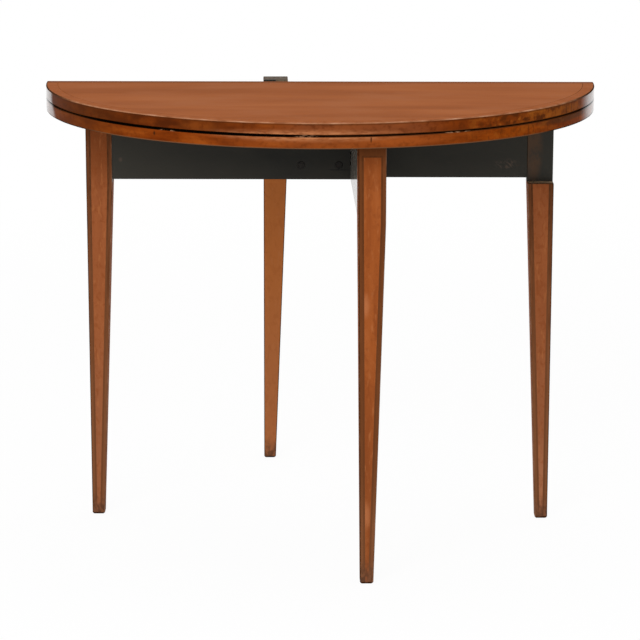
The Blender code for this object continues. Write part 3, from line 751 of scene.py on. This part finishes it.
def mesh_from(name, bm, finishes=()):
    mesh = bpy.data.meshes.new(name)
    bm.to_mesh(mesh)
    bm.free()
    for layer in [attribute for attribute in mesh.attributes if attribute.name == "custom_normal"]:
        mesh.attributes.remove(layer)
    for finish in finishes:
        mesh.materials.append(finish)
    return mesh


def add_object(name, mesh):
    made = bpy.data.objects.new(name, mesh)
    bpy.context.scene.collection.objects.link(made)
    return made


def carve(piece, shapes, finish_number):
    """Cuts the shapes out of a piece; the cut faces take the finish of that number."""
    cutters = []
    for number, shape in enumerate(shapes):
        for face in shape.faces:
            face.material_index = finish_number
        cutter = add_object(f"{piece.name}_cut_{number}", mesh_from("cut", shape))
        modifier = piece.modifiers.new(cutter.name, "BOOLEAN")
        modifier.operation = "DIFFERENCE"
        modifier.solver = "EXACT"
        modifier.object = cutter
        cutters.append(cutter)
    shown = piece.evaluated_get(bpy.context.evaluated_depsgraph_get())
    carved = bpy.data.meshes.new_from_object(shown)
    piece.modifiers.clear()
    piece.data = carved
    for cutter in cutters:
        bpy.data.objects.remove(cutter)


def dress(piece, slot, *nodes):
    """Smooth shading with crisp corners; the piece rides with its nodes' body and stands for them."""
    piece.data.shade_smooth()
    piece.data.set_sharp_from_angle(angle=SHARP_ANGLE)
    piece.modifiers.new("flat_faces", "WEIGHTED_NORMAL").keep_sharp = True
    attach(piece, frame["nodes"][nodes[0]]["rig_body"])
    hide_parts(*nodes)
    return piece


def sharp_edges(bm, least_angle=CORNER_ANGLE):
    return [
        edge for edge in bm.edges
        if edge.is_manifold and edge.is_convex and edge.calc_face_angle() > least_angle]


def ease(bm, edges, width, steps):
    """Rounds edges and gives back the faces of the rounding."""
    rounded = bmesh.ops.bevel(
        bm, geom=edges, offset=width, offset_type="OFFSET", affect="EDGES", segments=steps, profile=0.5,
        material=-1, clamp_overlap=True)
    return rounded["faces"]


# Half-round leaves

FIELD, STRING, BAND, RIM_ARRIS, EDGE, INSIDE = range(6)


def is_at_height(vert, z):
    return abs(vert.co.z - z) < MERGE_DISTANCE


def is_at_back(vert):
    return abs(vert.co.y - LEAF_BACK_Y) < MERGE_DISTANCE


def is_level(edge):
    first, second = edge.verts
    return is_at_height(first, second.co.z)


def leaf_shape(face_z, near_z, inlaid):
    """A half-round leaf from its outer face to the face at the gap between the leaves."""
    bm = bmesh.new()
    rings = [(TOP_RADIUS, EDGE, face_z), (TOP_RADIUS, None, near_z)]
    if inlaid:
        line_radius = TOP_RADIUS - CROSSBAND_WIDTH
        rings = [(line_radius - TOP_LINE_WIDTH, STRING, face_z), (line_radius, BAND, face_z)] + rings
    for (radius, finish, z), (next_radius, _, next_z) in zip(rings, rings[1:]):
        before = len(bm.faces)
        ends = [
            bm.verts.new(HINGE_POINT.xy.to_3d() + Vector((-radius, 0.0, z))),
            bm.verts.new(HINGE_POINT.xy.to_3d() + Vector((-next_radius, 0.0, next_z)))]
        strip = [*ends, bm.edges.new(ends)]
        bmesh.ops.spin(bm, geom=strip, cent=HINGE_POINT, axis=Z_AXIS, angle=math.pi, steps=LEAF_STEPS)
        bm.faces.ensure_lookup_table()
        for face in bm.faces[before:]:
            face.material_index = finish
    bmesh.ops.remove_doubles(bm, verts=bm.verts, dist=MERGE_DISTANCE)
    bmesh.ops.bisect_plane(
        bm, geom=bm.verts[:] + bm.edges[:] + bm.faces[:], plane_co=(0.0, LEAF_BACK_Y, 0.0), plane_no=Y_AXIS,
        clear_outer=True)
    for z, finish in ((face_z, FIELD), (near_z, INSIDE)):
        ring = [
            edge for edge in bm.edges
            if edge.is_boundary and all(is_at_height(vert, z) for vert in edge.verts)
            and not all(is_at_back(vert) for vert in edge.verts)]
        ends = sorted({v for edge in ring for v in edge.verts if is_at_back(v)}, key=lambda v: v.co.x)
        chord = bm.edges.new((ends[0], ends[-1]))
        for face in bmesh.ops.edgeloop_fill(bm, edges=ring + [chord])["faces"]:
            face.material_index = finish
    open_edges = [edge for edge in bm.edges if edge.is_boundary]
    for face in bmesh.ops.edgeloop_fill(bm, edges=open_edges)["faces"]:
        face.material_index = INSIDE
    bmesh.ops.recalc_face_normals(bm, faces=bm.faces)
    level_edges = [edge for edge in sharp_edges(bm, RIM_ANGLE) if is_level(edge)]
    for face in ease(bm, level_edges, ARRIS, ARRIS_STEPS):
        face.material_index = RIM_ARRIS
    return bm


def hinge_cuts(side, level):
    """Bed, eye notch and screw bores of one brass plate, at the right (+1) or left (-1) end."""
    end_x = HINGE_POINT.x + side * TOP_RADIUS
    inner_x = end_x - side * (PLATE_DEPTH + SEAT_GAP)
    xs = sorted((inner_x, end_x + side * CUT_PAST))
    zs = sorted((
        HINGE_POINT.z + level * (UPPER_LOW.z - HINGE_POINT.z + PLATE_LIP - SEAT_GAP),
        HINGE_POINT.z + level * (UPPER_LOW.z - HINGE_POINT.z + PLATE_LIP + PLATE_HEIGHT + SEAT_GAP)))
    ys = (HINGE_POINT.y - PLATE_LENGTH - SEAT_GAP, HINGE_POINT.y + CUT_PAST)
    yield box_shape((xs[0], ys[0], zs[0]), (xs[1], ys[1], zs[1]))
    notch_x = end_x - side * (PLATE_DEPTH + 2 * SEAT_GAP)
    yield rod_shape(
        (notch_x, HINGE_POINT.y, HINGE_POINT.z), (end_x + side * CUT_PAST, HINGE_POINT.y, HINGE_POINT.z),
        EYE_RADIUS + 2 * SEAT_GAP)
    for place in ("back", "front"):
        low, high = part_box(f"{HAND[side]}_hinge_{LEVEL[level]}_{place}_screw")
        middle = (low + high) / 2
        tip_x = low.x - SEAT_GAP if side > 0 else high.x + SEAT_GAP
        yield rod_shape(
            (tip_x, middle.y, middle.z), (end_x, middle.y, middle.z), HINGE_SHANK_RADIUS + SEAT_GAP)


def top_screw_bores():
    for hand in HAND.values():
        for place in ("inner", "outer"):
            low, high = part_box(f"{hand}_{place}_top_screw")
            middle = (low + high) / 2
            yield rod_shape(
                (middle.x, middle.y, LOWER_LOW.z - CUT_PAST), (middle.x, middle.y, high.z + SEAT_GAP),
                TOP_SHANK_RADIUS + SEAT_GAP)


def new_leaf(node, level, face_z, near_z, face_finish):
    finishes = (face_finish, TOP_STRING, CROSSBAND, WORN_HIGHLIT_ARRIS, LEAF_EDGE, LEAF_INSIDE)
    name = "veneered_" + node
    piece = add_object(name, mesh_from(name, leaf_shape(face_z, near_z, level > 0), finishes))
    cuts = [shape for side in HAND for shape in hinge_cuts(side, level)]
    if level < 0:
        cuts.extend(top_screw_bores())
    carve(piece, cuts, INSIDE)
    return dress(piece, "polished_top", node)


# Inlaid legs

PANEL, BORDER, LINE, CORNER, LIT_SIDE_CORNER, SOLE, STAIN, END_GRAIN, LEDGE = range(9)


def looks_along(face, facings, least=FACING_SQUARELY):
    """True where a face looks along one of the directions at least that far."""
    return any(face.normal.dot(facing) > least for facing in facings)


def side_face(bm, facing, in_block):
    """The largest face of the block or of the tapered shaft on one side."""
    faces = [
        face for face in bm.faces
        if looks_along(face, (facing,)) and (face.calc_center_median().z > LEDGE_Z) == in_block]
    return max(faces, key=lambda face: face.calc_area())


def split(bm, faces, point, normal):
    around = {item for face in faces for item in (*face.verts, *face.edges, face)}
    bmesh.ops.bisect_plane(bm, geom=list(around), dist=MERGE_DISTANCE, plane_co=point, plane_no=normal)


def inlay(bm, marked, face, close_z=None):
    """A dark string along both long sides of a face, a border outside it and a panel between."""
    face[marked] = 1
    across = face.normal.cross(Z_AXIS)
    heights = [vert.co.z for vert in face.verts]
    sides = []
    for way in (across, -across):
        top, bottom = (
            max((vert.co.copy() for vert in face.verts if abs(vert.co.z - z) < ARRIS), key=way.dot)
            for z in (max(heights), min(heights)))
        along = (top - bottom).normalized()
        inward = along.cross(face.normal)
        inward *= -math.copysign(1.0, inward.dot(way))
        sides.append((bottom, inward))

    def inlaid_faces():
        return [item for item in bm.faces if item[marked]]

    def depth(item):
        centre = item.calc_center_median()
        return min((centre - point).dot(inward) for point, inward in sides)

    for point, inward in sides:
        for distance in (STRING_INSET, STRING_INSET + STRING_WIDTH):
            split(bm, inlaid_faces(), point + inward * distance, inward)
    if close_z is not None:
        for z in (close_z, close_z - STRING_WIDTH):
            middle = [item for item in inlaid_faces() if depth(item) > STRING_INSET]
            split(bm, middle, Vector((0.0, 0.0, z)), Z_AXIS)
    for item in inlaid_faces():
        height = item.calc_center_median().z
        if depth(item) < STRING_INSET or (close_z is not None and height > close_z):
            item.material_index = BORDER
        elif depth(item) < STRING_INSET + STRING_WIDTH or (
                close_z is not None and height > close_z - STRING_WIDTH):
            item.material_index = LINE
        item[marked] = 0


def in_mortise(edge, rail_box):
    low, high = rail_box
    spare = Vector((ARRIS, ARRIS, ARRIS))
    return all(
        all(a < c < b for a, c, b in zip(low + spare, vert.co, high - spare)) for vert in edge.verts)


def new_leg(node, rail, stained, inlaid, block_inlaid, stain_finish, lit_side):
    """A leg with string inlay on its show faces and dark stain on the faces that meet the rails."""
    bm = copy_of(node)
    bmesh.ops.bisect_plane(
        bm, geom=bm.verts[:] + bm.edges[:] + bm.faces[:], dist=MERGE_DISTANCE,
        plane_co=(0.0, 0.0, LEDGE_Z), plane_no=Z_AXIS)
    top_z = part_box(node)[1].z
    for face in bm.faces:
        height = face.calc_center_median().z
        if face.normal.z > FACING_SQUARELY:
            face.material_index = END_GRAIN if height > top_z - ARRIS else LEDGE
        elif face.normal.z < FACING_DOWN:
            face.material_index = SOLE
        elif height > LEDGE_Z and looks_along(face, stained):
            face.material_index = STAIN
    marked = bm.faces.layers.int.new("inlaid")
    for facing in inlaid:
        inlay(bm, marked, side_face(bm, facing, False))
        if block_inlaid:
            inlay(bm, marked, side_face(bm, facing, True), top_z - CLOSING_LINE_DROP)
    bm.faces.layers.int.remove(marked)
    rail_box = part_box(rail)
    edges = [edge for edge in sharp_edges(bm) if not in_mortise(edge, rail_box)]
    for face in ease(bm, edges, LEG_ARRIS, LEG_ARRIS_STEPS):
        height = face.calc_center_median().z
        beside_inlay = block_inlaid and looks_along(face, inlaid, FACING_PARTLY)
        beside_stain = height > LEDGE_Z and looks_along(face, stained, FACING_PARTLY)
        if height < ARRIS:
            face.material_index = SOLE
        elif beside_stain and not beside_inlay:
            face.material_index = STAIN
        # Painted light: the corners on the lit side of the leg take the pale finish.
        elif looks_along(face, (lit_side,), FACING_PARTLY):
            face.material_index = LIT_SIDE_CORNER
        else:
            face.material_index = CORNER
    finishes = (
        LEG_PANEL, LEG_BORDER, DARK_STRING, LEG_CORNER, LIT_CORNER, FOOT, stain_finish, BLOCK_TOP,
        WORN_LEDGE)
    name = "inlaid_" + node
    return dress(add_object(name, mesh_from(name, bm, finishes)), "polished_leg", node)


# Dark rails and small fittings

def new_eased(prefix, node, finish, slot, width, upper_finish=None):
    """A copy of a node with softened edges; its upper faces may have a finish of their own."""
    name = prefix + node
    bm = copy_of(node)
    finishes = [finish]
    if upper_finish:
        finishes.append(upper_finish)
        for face in bm.faces:
            face.material_index = int(face.normal.z > FACING_SQUARELY)
    piece = add_object(name, mesh_from(name, bm, finishes))
    easing = piece.modifiers.new("eased_edges", "BEVEL")
    easing.width = width
    easing.segments = EASED_STEPS
    easing.limit_method = "ANGLE"
    easing.angle_limit = EASED_ANGLE
    return dress(piece, slot, node)


def new_hinge_screw(node, side, turn_degrees):
    """A brass screw with its driver slot."""
    name = "slotted_" + node
    piece = add_object(name, mesh_from(name, copy_of(node), [BRASS]))
    low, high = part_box(node)
    middle = (low + high) / 2
    face_x = high.x if side > 0 else low.x
    reach = high.z - low.z
    slot = box_shape((-SLOT_DEPTH, -reach, -SLOT_WIDTH / 2), (SLOT_DEPTH, reach, SLOT_WIDTH / 2))
    turn = Matrix.Rotation(math.radians(turn_degrees), 4, "X")
    place = Matrix.Translation((face_x, middle.y, middle.z)) @ turn
    bmesh.ops.transform(slot, matrix=place, verts=slot.verts)
    carve(piece, [slot], 0)
    return dress(piece, "old_brass", node)


new_leaf("upper_leaf", 1, UPPER_HIGH.z, UPPER_LOW.z, TOP_FIELD)
new_leaf("lower_leaf", -1, LOWER_LOW.z, LOWER_HIGH.z, UNDERSIDE)

new_leg("left_leg", "left_rail", (X_AXIS, Y_AXIS), (-Y_AXIS,), True, EBONISED, X_AXIS)
new_leg("right_leg", "right_rail", (-X_AXIS, -Y_AXIS), (-Y_AXIS, X_AXIS), False, RUBBED_BLOCK, -X_AXIS)
new_leg("front_leg", "front_gate_rail", (Y_AXIS,), (-Y_AXIS, -X_AXIS), True, EBONISED, X_AXIS)
new_leg("rear_leg", "rear_gate_rail", (-Y_AXIS,), (Y_AXIS, X_AXIS), True, EBONISED, Y_AXIS)

for rail in ("left_rail", "right_rail"):
    new_eased("ebonised_", rail, EBONISED, "ebonised_rail", RAIL_ARRIS)
for rail in ("front_gate_rail", "rear_gate_rail"):
    new_eased("ebonised_", rail, GATE_POLISH, "ebonised_rail", RAIL_ARRIS, DRY_EDGE)
for hand in HAND.values():
    for height in LEVEL.values():
        new_eased("trimmed_", f"{hand}_{height}_lap_dowel", DOWEL_END, "dowel_wood", RAIL_ARRIS)
        new_eased("brass_", f"{hand}_hinge_{height}_plate", BRASS, "old_brass", BRASS_ARRIS)
    for place in ("inner", "outer"):
        new_eased("iron_", f"{hand}_{place}_top_screw", IRON, "old_iron", BRASS_ARRIS)
    new_eased("brass_", f"{hand}_hinge_pin", BRASS, "old_brass", BRASS_ARRIS)
for gate in ("front", "rear"):
    new_eased("iron_", f"{gate}_knuckle_pin", IRON, "old_iron", RAIL_ARRIS)
slot_turns = iter(SLOT_TURNS)
for side, hand in HAND.items():
    for height in LEVEL.values():
        for place in ("back", "front"):
            new_hinge_screw(f"{hand}_hinge_{height}_{place}_screw", side, next(slot_turns))


# Camera, from the middle of the front and a little above

CAMERA_PLACE = Vector((-0.00699, -4.60226, 1.38477))
CAMERA_LENS = 159.554
CAMERA_SENSOR = 36.0
CAMERA_REACH = 50.0
CAMERA_PITCH = math.radians(12.7444)
CAMERA_YAW = math.radians(0.0917)
CAMERA_ROLL = math.radians(0.114)


def add_camera():
    data = bpy.data.cameras.new("front_camera")
    data.lens = CAMERA_LENS
    data.sensor_width = CAMERA_SENSOR
    data.clip_end = CAMERA_REACH
    camera = add_object("front_camera", data)
    camera.matrix_world = (
        Matrix.Translation(CAMERA_PLACE) @ Matrix.Rotation(-CAMERA_YAW, 4, "Z")
        @ Matrix.Rotation(math.pi / 2 - CAMERA_PITCH, 4, "X") @ Matrix.Rotation(CAMERA_ROLL, 4, "Z"))
    bpy.context.scene.camera = camera


# Studio

FLOOR_SIZE = 7.0
FLOOR_WHITE = (0.93, 0.93, 0.93, 1.0)
SHADOW_SHARE = 0.06
SHADOW_REACH = (1.0, 3.2)
WORLD_LEVEL = 0.55
TABLE_MIDDLE = (0.0, 0.0, 0.5)
# Softboxes, each with its place, the length of its side and its watts
SOFTBOXES = {
    "front_softbox": ((-1.2, -3.6, 2.6), 2.4, 102),
    "overhead_softbox": ((0.3, 0.2, 3.4), 3.0, 34),
}


def background_rays(tree):
    """1 for rays that show the background: camera, glossy and transmission rays."""
    path = tree.nodes.new("ShaderNodeLightPath")
    total = path.outputs["Is Camera Ray"]
    for name in ("Is Glossy Ray", "Is Transmission Ray"):
        node = tree.nodes.new("ShaderNodeMath")
        node.operation = "MAXIMUM"
        tree.links.new(total, node.inputs[0])
        tree.links.new(path.outputs[name], node.inputs[1])
        total = node.outputs["Value"]
    return total


def mix_shaders(tree, factor, first, second, output_name):
    mix = tree.nodes.new("ShaderNodeMixShader")
    tree.links.new(factor, mix.inputs["Fac"])
    tree.links.new(first, mix.inputs[1])
    tree.links.new(second, mix.inputs[2])
    output = next(node for node in tree.nodes if node.type == output_name)
    tree.links.new(mix.outputs["Shader"], output.inputs["Surface"])


def add_world():
    world = bpy.data.worlds.new("studio")
    world.use_nodes = True
    bpy.context.scene.world = world
    tree = world.node_tree
    fill = tree.nodes["Background"]
    fill.inputs["Color"].default_value = WHITE
    fill.inputs["Strength"].default_value = WORLD_LEVEL
    white = tree.nodes.new("ShaderNodeBackground")
    white.inputs["Color"].default_value = WHITE
    white.inputs["Strength"].default_value = 1.0
    mix_shaders(
        tree, background_rays(tree),
        fill.outputs["Background"], white.outputs["Background"], "OUTPUT_WORLD")


def add_floor():
    bm = bmesh.new()
    bmesh.ops.create_grid(bm, x_segments=1, y_segments=1, size=FLOOR_SIZE / 2)
    material = bpy.data.materials.new("pale_floor")
    material.use_nodes = True
    tree = material.node_tree
    shader = tree.nodes["Principled BSDF"]
    shader.inputs["Base Color"].default_value = FLOOR_WHITE
    shader.inputs["Roughness"].default_value = 0.9
    shader.inputs["Specular IOR Level"].default_value = 0.0
    white = tree.nodes.new("ShaderNodeEmission")
    away = tree.nodes.new("ShaderNodeVectorMath")
    away.operation = "LENGTH"
    tree.links.new(tree.nodes.new("ShaderNodeTexCoord").outputs["Object"], away.inputs[0])
    fade = tree.nodes.new("ShaderNodeMapRange")
    fade.interpolation_type = "SMOOTHSTEP"
    fade.inputs["From Min"].default_value, fade.inputs["From Max"].default_value = SHADOW_REACH
    fade.inputs["To Min"].default_value = 1.0 - SHADOW_SHARE
    fade.inputs["To Max"].default_value = 1.0
    tree.links.new(away.outputs["Value"], fade.inputs["Value"])
    share = tree.nodes.new("ShaderNodeMath")
    share.operation = "MULTIPLY"
    tree.links.new(background_rays(tree), share.inputs[0])
    tree.links.new(fade.outputs["Result"], share.inputs[1])
    mix_shaders(
        tree, share.outputs["Value"], shader.outputs["BSDF"], white.outputs["Emission"], "OUTPUT_MATERIAL")
    floor = add_object("floor", mesh_from("floor", bm, [material]))


def add_softbox(name, place, size, watts):
    """A square soft light turned to the middle of the table."""
    data = bpy.data.lights.new(name, "AREA")
    data.shape = "SQUARE"
    data.size = size
    data.energy = watts
    lamp = add_object(name, data)
    turn = (Vector(TABLE_MIDDLE) - Vector(place)).to_track_quat("-Z", "Y")
    lamp.matrix_world = Matrix.Translation(place) @ turn.to_matrix().to_4x4()


add_camera()
add_world()
add_floor()
for softbox, (place, size, watts) in SOFTBOXES.items():
    add_softbox(softbox, place, size, watts)

bpy.context.scene.view_settings.view_transform = "Standard"
